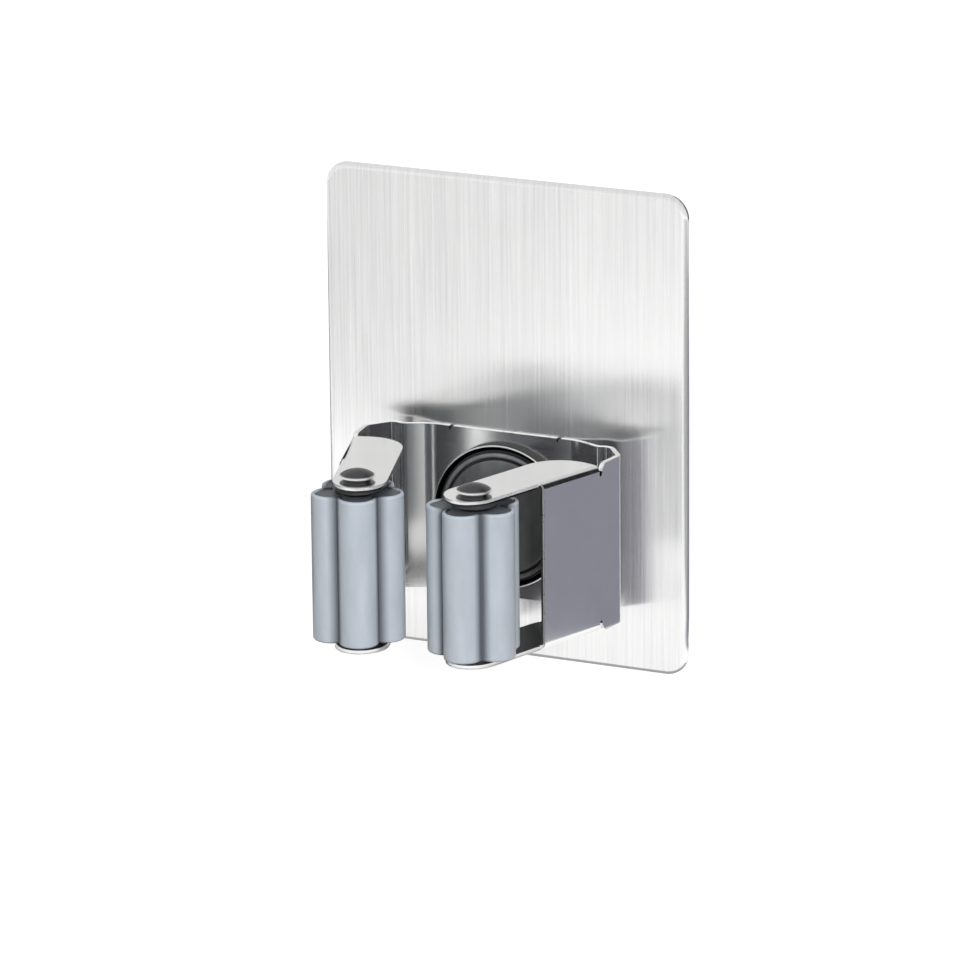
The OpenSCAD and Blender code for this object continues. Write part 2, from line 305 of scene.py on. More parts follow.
class Finish:
    """A procedural material. Its patterns follow the object's own coordinates, in millimetres."""

    def __init__(self, name):
        self.mat = bpy.data.materials.new(name)
        self.mat.use_nodes = True
        self.tree = self.mat.node_tree
        self.tree.nodes.clear()
        self.shader = self.add("ShaderNodeBsdfPrincipled")
        out = self.add("ShaderNodeOutputMaterial")
        self.link(self.shader.outputs["BSDF"], out.inputs["Surface"])
        self.place = self.add("ShaderNodeTexCoord").outputs["Object"]

    def add(self, kind, **settings):
        node = self.tree.nodes.new(kind)
        for key, value in settings.items():
            setattr(node, key, value)
        return node

    def link(self, a, b):
        self.tree.links.new(a, b)

    def set(self, **values):
        """Sets numbers and colours that are the same all over, on the shader's own sockets."""
        for key, value in values.items():
            self.shader.inputs[key.replace("_", " ")].default_value = value

    def drive(self, key, value):
        """Feeds one of the shader's sockets from a node."""
        self.link(value, self.shader.inputs[key.replace("_", " ")])

    def noise(self, per_mm, detail=4.0, roughness=0.55, shift=0.0):
        """Noise with per_mm features to the millimetre along X, Y and Z."""
        mapping = self.add("ShaderNodeMapping")
        mapping.inputs["Scale"].default_value = [c / MM for c in per_mm]
        mapping.inputs["Location"].default_value = (shift, shift * 0.7, shift * 1.3)
        self.link(self.place, mapping.inputs["Vector"])
        noise = self.add("ShaderNodeTexNoise")
        noise.inputs["Scale"].default_value = 1.0
        noise.inputs["Detail"].default_value = detail
        noise.inputs["Roughness"].default_value = roughness
        self.link(mapping.outputs["Vector"], noise.inputs["Vector"])
        return noise.outputs["Fac"]

    def painted_light(self):
        """The number that the mesh marks for painted light and shade."""
        return self.add("ShaderNodeAttribute", attribute_name="painted_light").outputs["Fac"]

    def mix(self, a, b, share):
        """share of b and the rest of a, where both are numbers from nodes."""
        node = self.add("ShaderNodeMix", data_type="FLOAT")
        node.inputs["Factor"].default_value = share
        self.link(a, node.inputs["A"])
        self.link(b, node.inputs["B"])
        return node.outputs["Result"]

    def colours(self, fac, low, high, start=0.3, end=0.7):
        """Colours from low to high, as fac goes from start to end."""
        ramp = self.add("ShaderNodeValToRGB")
        for element, at, colour in zip(ramp.color_ramp.elements, (start, end), (low, high)):
            element.position = at
            element.color = (*colour, 1.0)
        self.link(fac, ramp.inputs["Fac"])
        return ramp.outputs["Color"]

    def spread(self, fac, low, high, start=0.3, end=0.7):
        """Numbers from low to high, as fac goes from start to end."""
        node = self.add("ShaderNodeMapRange")
        ranges = {"From Min": start, "From Max": end, "To Min": low, "To Max": high}
        for key, value in ranges.items():
            node.inputs[key].default_value = value
        self.link(fac, node.inputs["Value"])
        return node.outputs["Result"]

    def bump(self, height, strength, distance_mm):
        node = self.add("ShaderNodeBump")
        node.inputs["Strength"].default_value = strength
        node.inputs["Distance"].default_value = distance_mm * MM
        self.link(height, node.inputs["Height"])
        self.link(node.outputs["Normal"], self.shader.inputs["Normal"])


def brushed_plate():
    """Stainless steel brushed up and down: fine lines, longer streaks and faint clouds."""
    f = Finish("brushed_plate_steel")
    f.set(Metallic=1.0, Anisotropic=0.93)
    fine = f.noise((7.0, 1.0, 0.05), detail=5, roughness=0.6)
    streak = f.noise((1.7, 0.3, 0.018), detail=4, roughness=0.6, shift=3.1)
    cloud = f.noise((0.05, 0.05, 0.03), detail=2, shift=7.7)
    grain = f.mix(fine, streak, 0.5)
    tone = f.mix(grain, cloud, 0.2)
    f.drive("Base_Color", f.colours(tone, grey(0.78), (0.92, 0.92, 0.915), start=0.38, end=0.62))
    f.drive("Roughness", f.spread(grain, 0.20, 0.28, start=0.35, end=0.65))
    tangent = f.add("ShaderNodeTangent", direction_type="RADIAL", axis="Z")
    f.drive("Tangent", tangent.outputs["Tangent"])
    f.bump(fine, strength=0.10, distance_mm=0.02)
    return f.mat


def rolled_steel():
    """Cold rolled spring steel: smooth, with faint lines along the strip and a few soft clouds."""
    f = Finish("rolled_spring_steel")
    f.set(Metallic=1.0)
    lines = f.noise((0.06, 4.0, 4.0), detail=4, roughness=0.6)
    cloud = f.noise((0.12, 0.12, 0.12), detail=2, shift=5.3)
    tone = f.mix(lines, cloud, 0.3)
    f.drive("Base_Color", f.colours(tone, grey(0.82), (0.89, 0.89, 0.88), start=0.34, end=0.66))
    f.drive("Roughness", f.spread(tone, 0.15, 0.21))
    f.bump(lines, strength=0.03, distance_mm=0.01)
    return f.mat


def cut_edge():
    """The sheared edge of the strip: bright, half matt, with soft waves."""
    f = Finish("cut_edge_steel")
    f.set(Metallic=0.6)
    waves = f.noise((0.3, 0.3, 0.3), detail=1)
    f.drive("Base_Color", f.colours(waves, grey(0.76), (0.86, 0.86, 0.85)))
    f.drive("Roughness", f.spread(waves, 0.26, 0.34))
    return f.mat


def polished_steel(name, low, high, rough):
    """Smooth steel with fine swirls and soft clouds."""
    f = Finish(name)
    f.set(Metallic=1.0)
    swirl = f.noise((2.6, 2.6, 2.6), detail=5, roughness=0.62)
    cloud = f.noise((0.4, 0.4, 0.4), detail=2, shift=2.2)
    f.drive("Base_Color", f.colours(f.mix(swirl, cloud, 0.5), low, high))
    f.drive("Roughness", f.spread(swirl, *rough))
    f.bump(swirl, strength=0.03, distance_mm=0.01)
    return f.mat


def steel_with_painted_light(name, dark, bright, rough):
    """Dark steel, painted bright where the mesh marks painted light: the dark ground stands in for dark
    reflections and shade, the bright for highlights.
    """
    f = Finish(name)
    f.set(Metallic=1.0)
    swirl = f.noise((2.6, 2.6, 2.6), detail=5, roughness=0.62)
    light_and_swirl = f.mix(f.painted_light(), swirl, 0.15)
    f.drive("Base_Color", f.colours(light_and_swirl, dark, bright, start=0.2, end=0.75))
    f.drive("Roughness", f.spread(swirl, *rough))
    f.bump(swirl, strength=0.03, distance_mm=0.01)
    return f.mat


def moulded(name, low, high, rough, bump, specular, shade_colour=None):
    """Moulded rubber or plastic: fine matt skin, soft clouds of colour, and where the mesh marks painted
    light below 1, a darker colour painted as shade."""
    f = Finish(name)
    f.set(Specular_IOR_Level=specular)
    skin = f.noise((9.0, 9.0, 9.0), detail=3, roughness=0.6)
    cloud = f.noise((0.35, 0.35, 0.12), detail=3, shift=4.4)
    colour = f.colours(f.mix(skin, cloud, 0.7), low, high, start=0.36, end=0.64)
    if shade_colour:
        blend = f.add("ShaderNodeMix", data_type="RGBA")
        blend.inputs["A"].default_value = (*shade_colour, 1.0)
        f.link(f.painted_light(), blend.inputs["Factor"])
        f.link(colour, blend.inputs["B"])
        colour = blend.outputs["Result"]
    f.drive("Base_Color", colour)
    f.drive("Roughness", f.spread(f.mix(skin, cloud, 0.5), *rough))
    f.bump(skin, strength=bump, distance_mm=0.03)
    return f.mat


def foam():
    """Matt white foam with small cells."""
    f = Finish("adhesive_foam")
    f.set(Roughness=0.9, Specular_IOR_Level=0.25)
    cells = f.add("ShaderNodeTexVoronoi", feature="F1")
    cells.inputs["Scale"].default_value = 2.2 / MM
    f.link(f.place, cells.inputs["Vector"])
    cloud = f.noise((0.08, 0.08, 0.08), detail=3, shift=1.7)
    f.drive("Base_Color", f.colours(cloud, (0.74, 0.74, 0.72), (0.86, 0.86, 0.84)))
    f.bump(cells.outputs["Distance"], strength=0.35, distance_mm=0.12)
    return f.mat


plate_steel = brushed_plate()
spring_steel = rolled_steel()
edge_steel = cut_edge()
tube_steel = polished_steel("tube_steel", grey(0.55), grey(0.70), rough=(0.14, 0.24))
# Near-black steel: painted shade on the cut edges in the nick and the notch, and on the torn inner band
# of the arms' edges.
shaded_cut_steel = polished_steel("shaded_cut_steel", grey(0.03), grey(0.07), rough=(0.3, 0.45))
rivet_steel = polished_steel("rivet_steel", (0.36, 0.36, 0.37), (0.52, 0.52, 0.53), rough=(0.12, 0.22))
# Painted light: the rivet's crown is painted dark as a reflection, its rim bright as a highlight, under
# its head dim as shade; the cup's lip is a painted highlight, its walls painted shade.
rivet_painted_steel = steel_with_painted_light("rivet_steel_painted_light", (0.085, 0.085, 0.088), grey(0.88), rough=(0.28, 0.38))
cup_painted_steel = steel_with_painted_light("cup_steel_painted_light", grey(0.10), grey(0.90), rough=(0.18, 0.26))
# The sleeve's shade_colour is painted shade in the hollows between the lobes.
sleeve_rubber = moulded("sleeve_rubber", (0.36, 0.395, 0.44), (0.41, 0.448, 0.495),
                        rough=(0.34, 0.44), bump=0.08, specular=0.5, shade_colour=(0.012, 0.016, 0.022))
core_plastic = moulded("core_plastic", (0.045, 0.052, 0.06), (0.075, 0.085, 0.095),
                       rough=(0.40, 0.52), bump=0.08, specular=0.45)
# The bumper's shade_colour is painted shade in its grooves.
bumper_rubber = moulded("bumper_rubber", (0.15, 0.155, 0.157), (0.21, 0.215, 0.218),
                        rough=(0.24, 0.36), bump=0.05, specular=0.5, shade_colour=(0.012, 0.0125, 0.0135))
washer_plastic = moulded("washer_plastic", (0.03, 0.03, 0.032), (0.055, 0.055, 0.058),
                         rough=(0.42, 0.55), bump=0.06, specular=0.4)
foam_white = foam()


# Plate and pad


def rounded_panel(name, w, h, r, back, front, back_round, front_round, material):
    """A panel between depths back and front (both count from the wall), with rounded edges."""
    rings = []
    steps = 8

    def ring(rounding, turn, level, inwards):
        inset = rounding[0] * (1 - math.cos(turn))
        depth = rounding[1] * (1 - math.sin(turn))
        rings.append(round_rect(w - 2 * inset, h - 2 * inset, r - inset, -(level + inwards * depth)))

    for i in range(steps + 1):
        ring(back_round, math.pi / 2 * (1 - i / steps), back, 1)
    for i in range(steps + 1):
        ring(front_round, math.pi / 2 * i / steps, front, -1)
    verts, faces = ring_stack(rings)
    return even_normals(link_mesh(name, verts, outward(verts, faces), [material]), angle=60)


plate = rounded_panel("steel_plate", PLATE_W, PLATE_H, PLATE_CORNER_R, PAD_T, PLATE_FRONT,
                      PLATE_BACK_ROUND, PLATE_FRONT_ROUND, plate_steel)
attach(plate, "wall_unit")
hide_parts("back_plate")

pad = rounded_panel("foam_pad", PLATE_W - 2 * PAD_INSET, PLATE_H - 2 * PAD_INSET, PAD_CORNER_R,
                    0.0, PAD_T, PAD_BACK_ROUND, PAD_FRONT_ROUND, foam_white)
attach(pad, "wall_unit")
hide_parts("adhesive_pad")


# Spring clip: each half is one sheet, from the middle of the base to the tips of the flanges


STRIP_EDGE = STRIP_H / 2
NOTCH_FLOOR = STRIP_EDGE - NOTCH_DEPTH + NOTCH_R
FLARE_POWER = 2.4  # how fast the notch's rear side curves up to the strip's edge
BEND_R = BEND_IN_R + STRIP_T / 2
BEND_START = STRIP_EDGE - STRIP_T / 2 - BEND_R
FLANGE_EDGE = -0.5  # ahead of the web the flange's outer edge lies here, out from the web's middle
SHOULDER = (0.3, 0.8)  # between these lengths ahead of the web the bend runs out to that edge
TIP_POWER = 1.5  # how fast the round tip leaves that edge
HOLE_R = AXLE_R + 0.04

# Rows and columns of the sheet's mesh
INNER_ROWS = (-14.2, -9.5, -4.75, 0.0, 4.75, 9.5, 14.2)
EDGE_ROW = 0.5  # one more row this far from the edge
COLUMN_STEP = 1.2
COLUMN_CLEAR = 0.1  # plain columns keep this far from a nick or notch
TURN_STEPS, CUT_STEPS, BEND_STEPS = 12, 8, 8
EDGE_STEPS, TIP_STEPS, HEEL_STEPS, HOLE_STEPS = 4, 32, 20, 32

# Cut edges
CUT_EDGE_R = 0.22
MIN_MITRE = 0.5
NOTCH_SHADE = 0.6  # how far the painted shade on the notch's floor reaches up its sides
TEAR_AT = -0.7  # sheared bright down to here, from 1 outside to -1 inside, and torn below; the torn band is painted near black, partly as its own rougher steel and partly as painted shade
SHEET_SLOT, BRIGHT_SLOT, DARK_SLOT = 0, 1, 2

strip_spans = plan_spans(
    [flat_start, flat_end, crest, valley, corner, notch, notch + WEB_LEN * unit(arm_heading)],
    [RAMP_R, CREST_R, VALLEY_R, CORNER_R, NOTCH_BEND_R])
S_END = sum(span[0] for span in strip_spans)
S_NOTCH = S_END - strip_spans[-1][0] - strip_spans[-2][0] / 2


class Sheet:
    """The middle surface of a sheet: points, the normal at each of them, and faces."""

    def __init__(self):
        self.points = []
        self.normals = []
        self.faces = []

    def point(self, plan, z, out, rise=0.0):
        """Adds a point and gives its number. rise is how much of the normal points up."""
        level = math.sqrt(1 - rise * rise)
        self.points.append(Vector((plan.x, plan.y - PLATE_FRONT, z - CLIP_DROP)))
        self.normals.append(Vector((out.x * level, out.y * level, rise)))
        return len(self.points) - 1

    def fill(self, rows, flip):
        """Faces between neighbouring rows of points."""
        for a, b in zip(rows, rows[1:]):
            for k in range(len(a) - 1):
                quad = (a[k], b[k], b[k + 1], a[k + 1])
                self.faces.append(quad[::-1] if flip else quad)


def edge_height(s):
    """Half height of the strip at s along its plan, without the bends to the flanges."""
    d = s - S_NOTCH
    if abs(d) <= NOTCH_R:
        return NOTCH_FLOOR - math.sqrt(NOTCH_R * NOTCH_R - d * d)
    if d > 0:
        return NOTCH_FLOOR
    if -d < NOTCH_R + NOTCH_FLARE:
        share = 1 - (-d - NOTCH_R) / NOTCH_FLARE
        return NOTCH_FLOOR + (STRIP_EDGE - NOTCH_FLOOR) * (1 - share ** FLARE_POWER)
    n = abs(s - NICK_X)
    if n < NICK_R:
        return STRIP_EDGE - NICK_DEPTH * math.sqrt(1 - (n / NICK_R) ** 2)
    return STRIP_EDGE


def strip_columns():
    """Places along the strip where its mesh has a column of points."""
    places = [0.0]
    at = 0.0
    for length, _, _, rate in strip_spans:
        steps = TURN_STEPS if rate else max(1, round(length / COLUMN_STEP))
        places += [at + length * (i + 1) / steps for i in range(steps)]
        at += length
    behind = -NOTCH_FLARE - NOTCH_R - COLUMN_CLEAR
    ahead = NOTCH_R + 2 * COLUMN_CLEAR
    places = [s for s in places if abs(s - NICK_X) > NICK_R + COLUMN_CLEAR
              and not behind < s - S_NOTCH < ahead]
    for i in range(CUT_STEPS + 1):
        share = math.cos(math.pi * i / CUT_STEPS)
        places += [NICK_X + NICK_R * share, S_NOTCH + NOTCH_R * share]
    places += [S_NOTCH - NOTCH_R - NOTCH_FLARE * i / CUT_STEPS for i in range(1, CUT_STEPS + 1)]
    return sorted(places)


def clip_sheet():
    """The middle surface of the right half: strip and web, then the bends and the flanges."""
    sheet = Sheet()
    columns = []
    web = []
    for s in strip_columns():
        plan, heading = plan_at(strip_spans, s)
        out = unit(heading + 90)
        edge = edge_height(s)
        near = edge - EDGE_ROW
        heights = (-edge, -near, *INNER_ROWS, near, edge)
        columns.append([sheet.point(plan, z, out) for z in heights])
        if s >= S_NOTCH + NOTCH_R - TINY:
            web.append((plan, out, columns[-1]))
    sheet.fill(columns, flip=False)
    for up in (1, -1):
        rows = [bend_row(sheet, plan, out, column, up) for plan, out, column in web]
        sheet.fill(rows, flip=up < 0)
        flange(sheet, rows, up)
    return sheet


def bend_row(sheet, plan, out, column, up):
    """Points from the web's edge over the bend to the flange."""
    row = [column[-1] if up > 0 else column[0]]
    for i in range(BEND_STEPS + 1):
        turn = math.radians(90 * i / BEND_STEPS)
        inward = BEND_R * (1 - math.cos(turn))
        z = up * (BEND_START + BEND_R * math.sin(turn))
        row.append(sheet.point(plan - inward * out, z, out, up * math.sin(turn)))
    return row


def flange_outline():
    """A flange's free edge in the arm's own plan, from the web's front edge round tip and heel."""
    tip_r = FLANGE_W / 2
    start, end = SHOULDER
    outline = [Vector((WEB_LEN + start, -BEND_R))]
    for i in range(EDGE_STEPS):
        outline.append(Vector((WEB_LEN + end + (AXLE_AHEAD - end) * i / EDGE_STEPS, FLANGE_EDGE)))
    for i in range(TIP_STEPS + 1):
        angle = 90 - 180 * i / TIP_STEPS
        share = max(0.0, math.sin(math.radians(angle))) ** TIP_POWER
        pull = (tip_r - axle_in - FLANGE_EDGE) * share
        outline.append(Vector((axle_reach, -axle_in)) + (tip_r - pull) * unit(angle))
    heel = Vector((NOTCH_R + HEEL_R, -axle_in - tip_r + HEEL_R))
    return outline + arc(heel, HEEL_R, -90, -180, HEEL_STEPS)


def flange(sheet, rows, up):
    """Fills one flange between the bend, its free edge and the hole for the axle."""
    z = up * (STRIP_EDGE - STRIP_T / 2)
    level = Vector((0.0, 0.0))

    def flat_point(p):
        return sheet.point(arm_point(p.x, p.y), z, level, up)

    boundary = [flat_point(p) for p in flange_outline()] + [row[-1] for row in rows]
    circle = arc(Vector((axle_reach, -axle_in)), HOLE_R, 0, 360, HOLE_STEPS)[:-1]
    hole = [flat_point(p) for p in circle]
    order = boundary + hole
    flat = [Vector((sheet.points[i].x, sheet.points[i].y)) for i in order]
    n, m = len(boundary), len(hole)
    edges = [(i, (i + 1) % n) for i in range(n)] + [(n + i, n + (i + 1) % m) for i in range(m)]
    triangles = delaunay_2d_cdt(flat, edges, [], 1, TINY)[2]
    centre = Vector((axle.x, axle.y - PLATE_FRONT))
    for triangle in triangles:
        a, b, c = (flat[i] for i in triangle)
        if ((a + b + c) / 3 - centre).length < AXLE_R:
            continue
        clockwise = (b - a).cross(c - a) < 0
        face = tuple(order[i] for i in triangle)
        sheet.faces.append(face if clockwise == (up > 0) else face[::-1])


def in_cut(p):
    """True in the nick in the base's edge and low in the notch beside the arm, where the cut edge is
    painted dark as shade.
    """
    if abs(p.x - NICK_X) < NICK_R + SLACK and p.y > -PLATE_FRONT - STRIP_T:
        return True
    beside = Vector((p.x, p.y + PLATE_FRONT)) - notch
    low = abs(p.z + CLIP_DROP) < NOTCH_FLOOR + NOTCH_SHADE
    return low and beside.length < NOTCH_R + NOTCH_SHADE


def rim_slot(a, b, below_tear):
    """The material slot of a cut edge between two points of the sheet; the dark slot paints shade in the
    nick and the notch and on the torn band ahead of the notch.
    """
    torn = below_tear and a.y < notch.y - PLATE_FRONT - NOTCH_R
    return DARK_SLOT if torn or (in_cut(a) and in_cut(b)) else BRIGHT_SLOT


def free_edges(sheet):
    """The sheet's free edges: those of the rim, and as one chain of points those in the middle
    plane, where the other half lies against them."""
    sides = {(a, b) for face in sheet.faces for a, b in zip(face, face[1:] + face[:1])}
    rim = []
    middle = {}
    for a, b in sorted(sides):
        if (b, a) in sides:
            continue
        if max(sheet.points[a].x, sheet.points[b].x) > TINY:
            rim.append((a, b))
        else:
            middle[a] = b
    chain = [v for v in middle if v not in middle.values()]
    while chain[-1] in middle:
        chain.append(middle[chain[-1]])
    return rim, chain


def rim_ways(sheet, rim):
    """For each point of the rim the way into the sheet, longer where the rim turns a corner."""
    ways = {}
    for a, b in rim:
        along = (sheet.points[b] - sheet.points[a]).normalized()
        for v in (a, b):
            ways[v] = ways.get(v, Vector((0.0, 0.0, 0.0))) + sheet.normals[v].cross(along)
    for v, way in ways.items():
        two_edges = way.length > 1 + SLACK
        mitre = max(MIN_MITRE, way.length / 2) if two_edges else 1.0
        ways[v] = way.normalized() / mitre
    return ways


def thicken(sheet, thickness, edge_r, steps=3):
    """Both sides of a sheet and a rim with rounded edges. Edges in the middle plane stay square.
    Returns vertices, faces and the slot of each face."""
    rim, chain = free_edges(sheet)
    ways = rim_ways(sheet, rim)
    half = thickness / 2
    count = len(sheet.points)
    verts = []
    for up in (1, -1):
        for v, (p, n) in enumerate(zip(sheet.points, sheet.normals)):
            verts.append(p + up * half * n + edge_r * ways.get(v, Vector((0.0, 0.0, 0.0))))
    levels = [(1, k) for k in range(1, steps + 1)]
    levels += [(TEAR_AT, steps)]
    levels += [(-1, k) for k in range(steps, 0, -1)]
    wall = {}
    for v, way in ways.items():
        wall[v] = [v]
        for up, k in levels:
            turn = math.pi / 2 * k / steps
            inset = edge_r * (1 - math.sin(turn))
            height = up * (half - edge_r * (1 - math.cos(turn)))
            verts.append(sheet.points[v] + inset * way + height * sheet.normals[v])
            wall[v].append(len(verts) - 1)
        wall[v].append(v + count)
    skin = sheet.faces + [tuple(i + count for i in reversed(f)) for f in sheet.faces]
    slots = [SHEET_SLOT] * len(skin)
    for a, b in rim:
        for k in range(len(wall[a]) - 1):
            skin.append((wall[b][k], wall[a][k], wall[a][k + 1], wall[b][k + 1]))
            slots.append(rim_slot(sheet.points[a], sheet.points[b], k > steps))
    square = chain[::-1] + wall[chain[0]][1:-1]
    square += [v + count for v in chain] + wall[chain[-1]][-2:0:-1]
    skin.append(tuple(square))
    slots.append(SHEET_SLOT)
    return verts, skin, slots


def clip_half(name, side):
    """One half of the clip, as one mesh."""
    verts, skin, slots = thicken(clip_sheet(), STRIP_T, CUT_EDGE_R)
    verts = [(side * v.x, v.y, v.z) for v in verts]
    materials = [spring_steel, edge_steel, shaded_cut_steel]
    obj = link_mesh(name, verts, outward(verts, skin), materials, slots)
    even_normals(obj, angle=50)
    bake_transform(obj)
    return obj


right_spring = clip_half("right_spring", 1)
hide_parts("clip_base", "right_arm")
left_spring = clip_half("left_spring", -1)
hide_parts("clip_base", "left_arm")


# Cup and bumper on the middle of the base


CENTRE_STEPS = 128
CUP_RIM_T, CUP_LIP_H = 0.3, 0.3
CUP_FOOT_R, CUP_FOOT_TURN_R = 13.9, 0.5
CUP_LIP_TURN_R, CUP_TURN_R, CUP_HOLE_TURN_R = 0.14, 0.2, 0.1
CUP_FLOOR_R = CUP_FOOT_R + 0.1
CUP_SEAM = (0.3, 0.4)  # the profile starts and ends in the wall of the hole, at these heights
LIP_GLINT_H = 0.15  # the lip's painted highlight is full this far above its foot

DISC_R, DISC_DROP = 11.9, 0.35
DISC_EDGE = 0.6  # width of the disc's rounded edge
GAP_FLOOR = 1.4
BEAD_AT, BEAD_R, BEAD_H = 12.95, 0.55, 0.75
SEAT_R = CUP_FLOOR_R - 0.12
SEAT_H = CUP_T + 0.02
POCKET_R, POCKET_H = 4.1, CUP_T + 1.3  # room for the centre rivet's head
BEAD_STEPS, DISC_STEPS = 16, 14
# DISC_SHADE is the disc's own tone; BEAD_SHADE lifts the bead's crest as a painted sheen.
DISC_SHADE, BEAD_SHADE = 0.6, 0.8


def on_base(p):
    return (p[0], -PLATE_FRONT - STRIP_T - p[2], p[1] - CLIP_DROP)


def cup_profile():
    """The floor's underside, the flared wall, the thin lip and the floor, round to the hole."""
    inside = CUP_R - CUP_RIM_T
    lip_foot = CUP_H - CUP_LIP_H
    return round_corners(
        [(FIX_R, CUP_SEAM[0]), (FIX_R, 0.0), (CUP_FOOT_R, 0.0), (CUP_R, lip_foot), (CUP_R, CUP_H),
         (inside, CUP_H), (inside, lip_foot), (CUP_FLOOR_R, CUP_T), (FIX_R, CUP_T),
         (FIX_R, CUP_SEAM[1])],
        [0.0, CUP_FOOT_TURN_R, CUP_TURN_R, CUP_LIP_TURN_R, CUP_LIP_TURN_R, CUP_TURN_R, CUP_TURN_R,
         CUP_HOLE_TURN_R])


def cup_light_mask(r, h):
    """A painted highlight on the lip's front edge, painted shade on the walls."""
    return clamp((h - CUP_H + CUP_LIP_H) / LIP_GLINT_H)


def disc_height(r):
    return BUMPER_EDGE_H - DISC_DROP + BUMPER_CROWN * (1 - (r / BUMPER_R) ** 2)


def bumper_profile():
    """The pocket and the seat, the groove with its bead, and the low dome of the disc."""
    flat_r = DISC_R - DISC_EDGE
    profile = round_corners(
        [(0.0, POCKET_H), (POCKET_R, POCKET_H), (POCKET_R, SEAT_H), (SEAT_R, SEAT_H),
         (SEAT_R, GAP_FLOOR), (BEAD_AT + BEAD_R, GAP_FLOOR)],
        [0.3, 0.2, 0.3, 0.1])
    for i in range(1, BEAD_STEPS):
        turn = math.pi * i / BEAD_STEPS
        profile.append((BEAD_AT + BEAD_R * math.cos(turn), GAP_FLOOR + BEAD_H * math.sin(turn)))
    profile += round_corners(
        [(BEAD_AT - BEAD_R, GAP_FLOOR), (DISC_R, GAP_FLOOR), (DISC_R, disc_height(DISC_R)),
         (flat_r, disc_height(flat_r))],
        [0.06, 0.2])
    for i in range(1, DISC_STEPS + 1):
        r = flat_r * (1 - i / DISC_STEPS)
        profile.append((r, disc_height(r)))
    return profile


def bumper_shade(r, h):
    """Dark in the two grooves as painted shade, half on the disc, full on the crest of the bead as a
    painted sheen.
    """
    if r < DISC_R - 0.05:
        return DISC_SHADE
    return min(BEAD_SHADE, max(0.0, (h - GAP_FLOOR - 0.2) / 0.5))


cup = lathe("cup_shell", cup_profile(), on_base, cup_painted_steel, cup_light_mask, CENTRE_STEPS, closed=True)
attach(cup, "wall_unit")
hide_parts("centre_cup")

bumper = lathe("bumper_disc", bumper_profile(), on_base, bumper_rubber, bumper_shade, CENTRE_STEPS)
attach(bumper, "wall_unit")
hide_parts("centre_bumper")


# Axle rivets and rollers


RIVET_STEPS, HEAD_STEPS = 64, 14
HEAD_TURN_R = 0.22
DIMPLE_R, DIMPLE_FLOOR_R, DIMPLE_H = 1.5, 1.1, 0.25  # in the end of the tail
ROLLER_STEPS = 240
LOBE_BLEND = 0.5  # softens the hollows between lobes
SLEEVE_TURN_R, CORE_TURN_R = 0.5, 0.2
RIM_T, END_PLATE_T = 0.7, 0.8
LIP = 0.08  # bevel inside the sleeve's rim
PLAY = 0.02  # between core and sleeve
SINK_R, SINK_FLOOR_R, SINK_H = 4.3, 4.2, 0.35  # round the bore in each end of the core
BORE_BEVEL = 0.15
GROOVE_R, GROOVE_DEPTH = 6.65, 1.6  # painted shade: the sleeve's colour darkens from the lobes down to this radius


def dome_height(r):
    crown = HEAD_H - COLLAR_H - HEAD_EDGE_H
    dome_r = (HEAD_R ** 2 + crown ** 2) / (2 * crown)
    return HEAD_H - dome_r + math.sqrt(dome_r ** 2 - r ** 2)


def rivet_profile():
    """From the crown of the head down to the upset tail; heights count from the upper flange."""
    dome_r = HEAD_R - HEAD_TURN_R
    radii = [dome_r * i / HEAD_STEPS for i in range(HEAD_STEPS + 1)]
    head = [(r, dome_height(r)) for r in radii]
    head += round_corners(
        [(HEAD_R, COLLAR_H + HEAD_EDGE_H), (HEAD_R, COLLAR_H), (COLLAR_R, COLLAR_H), (COLLAR_R, 0.0),
         (AXLE_R, 0.0)],
        [HEAD_TURN_R, 0.15, 0.1], steps=4)
    top = -STRIP_H
    end = top - TAIL_H
    tail = round_corners(
        [(AXLE_R, top), (TAIL_R, top), (TAIL_R, end), (DIMPLE_R, end),
         (DIMPLE_FLOOR_R, end + DIMPLE_H), (0.0, end + DIMPLE_H)],
        [0.15, 0.45, 0.25, 0.25], steps=5)
    return head + tail


def rivet_light_mask(r, h):
    """Painted light on the rivet: a little under the head, which stays dim as painted shade; none on its
    crown, which stays dark as a painted reflection; full on its rim, a painted highlight, and on the
    tail, which keeps plain bright steel.
    """
    if h < -1.0:
        return 1.0
    if h > COLLAR_H + 0.08:
        return clamp((r - HEAD_R + 0.3) / 0.2)
    return 0.1


def lobed_distance(x, y, phase, hub_r, lobe_r):
    """Signed distance to a hub with lobes round it, the hollows between them softened."""
    gaps = [math.hypot(x, y) - hub_r]
    for k in range(LOBES):
        c = LOBE_RING_R * unit(phase + 360 * k / LOBES)
        gaps.append(math.hypot(x - c.x, y - c.y) - lobe_r)
    a, b = sorted(gaps)[:2]
    h = max(LOBE_BLEND - (b - a), 0.0) / LOBE_BLEND
    return a - h * h * LOBE_BLEND / 4


def lobed_ring(phase, hub_r, lobe_r, inset):
    """Points round the lobed outline, drawn in by inset; each is found by halving a range."""
    ring = []
    for k in range(ROLLER_STEPS):
        d = unit(phase + 360 * k / ROLLER_STEPS)
        low, high = 1.0, 14.0
        for _ in range(40):
            mid = (low + high) / 2
            if lobed_distance(mid * d.x, mid * d.y, phase, hub_r, lobe_r) + inset < 0:
                low = mid
            else:
                high = mid
        ring.append(low * d)
    return ring


def sleeve_ring(phase, inset):
    return lobed_ring(phase, SLEEVE_HUB_R, LOBE_R, inset)


def core_ring(phase, inset):
    return lobed_ring(phase, CORE_HUB_R, LOBE_R - SKIN_T, inset)


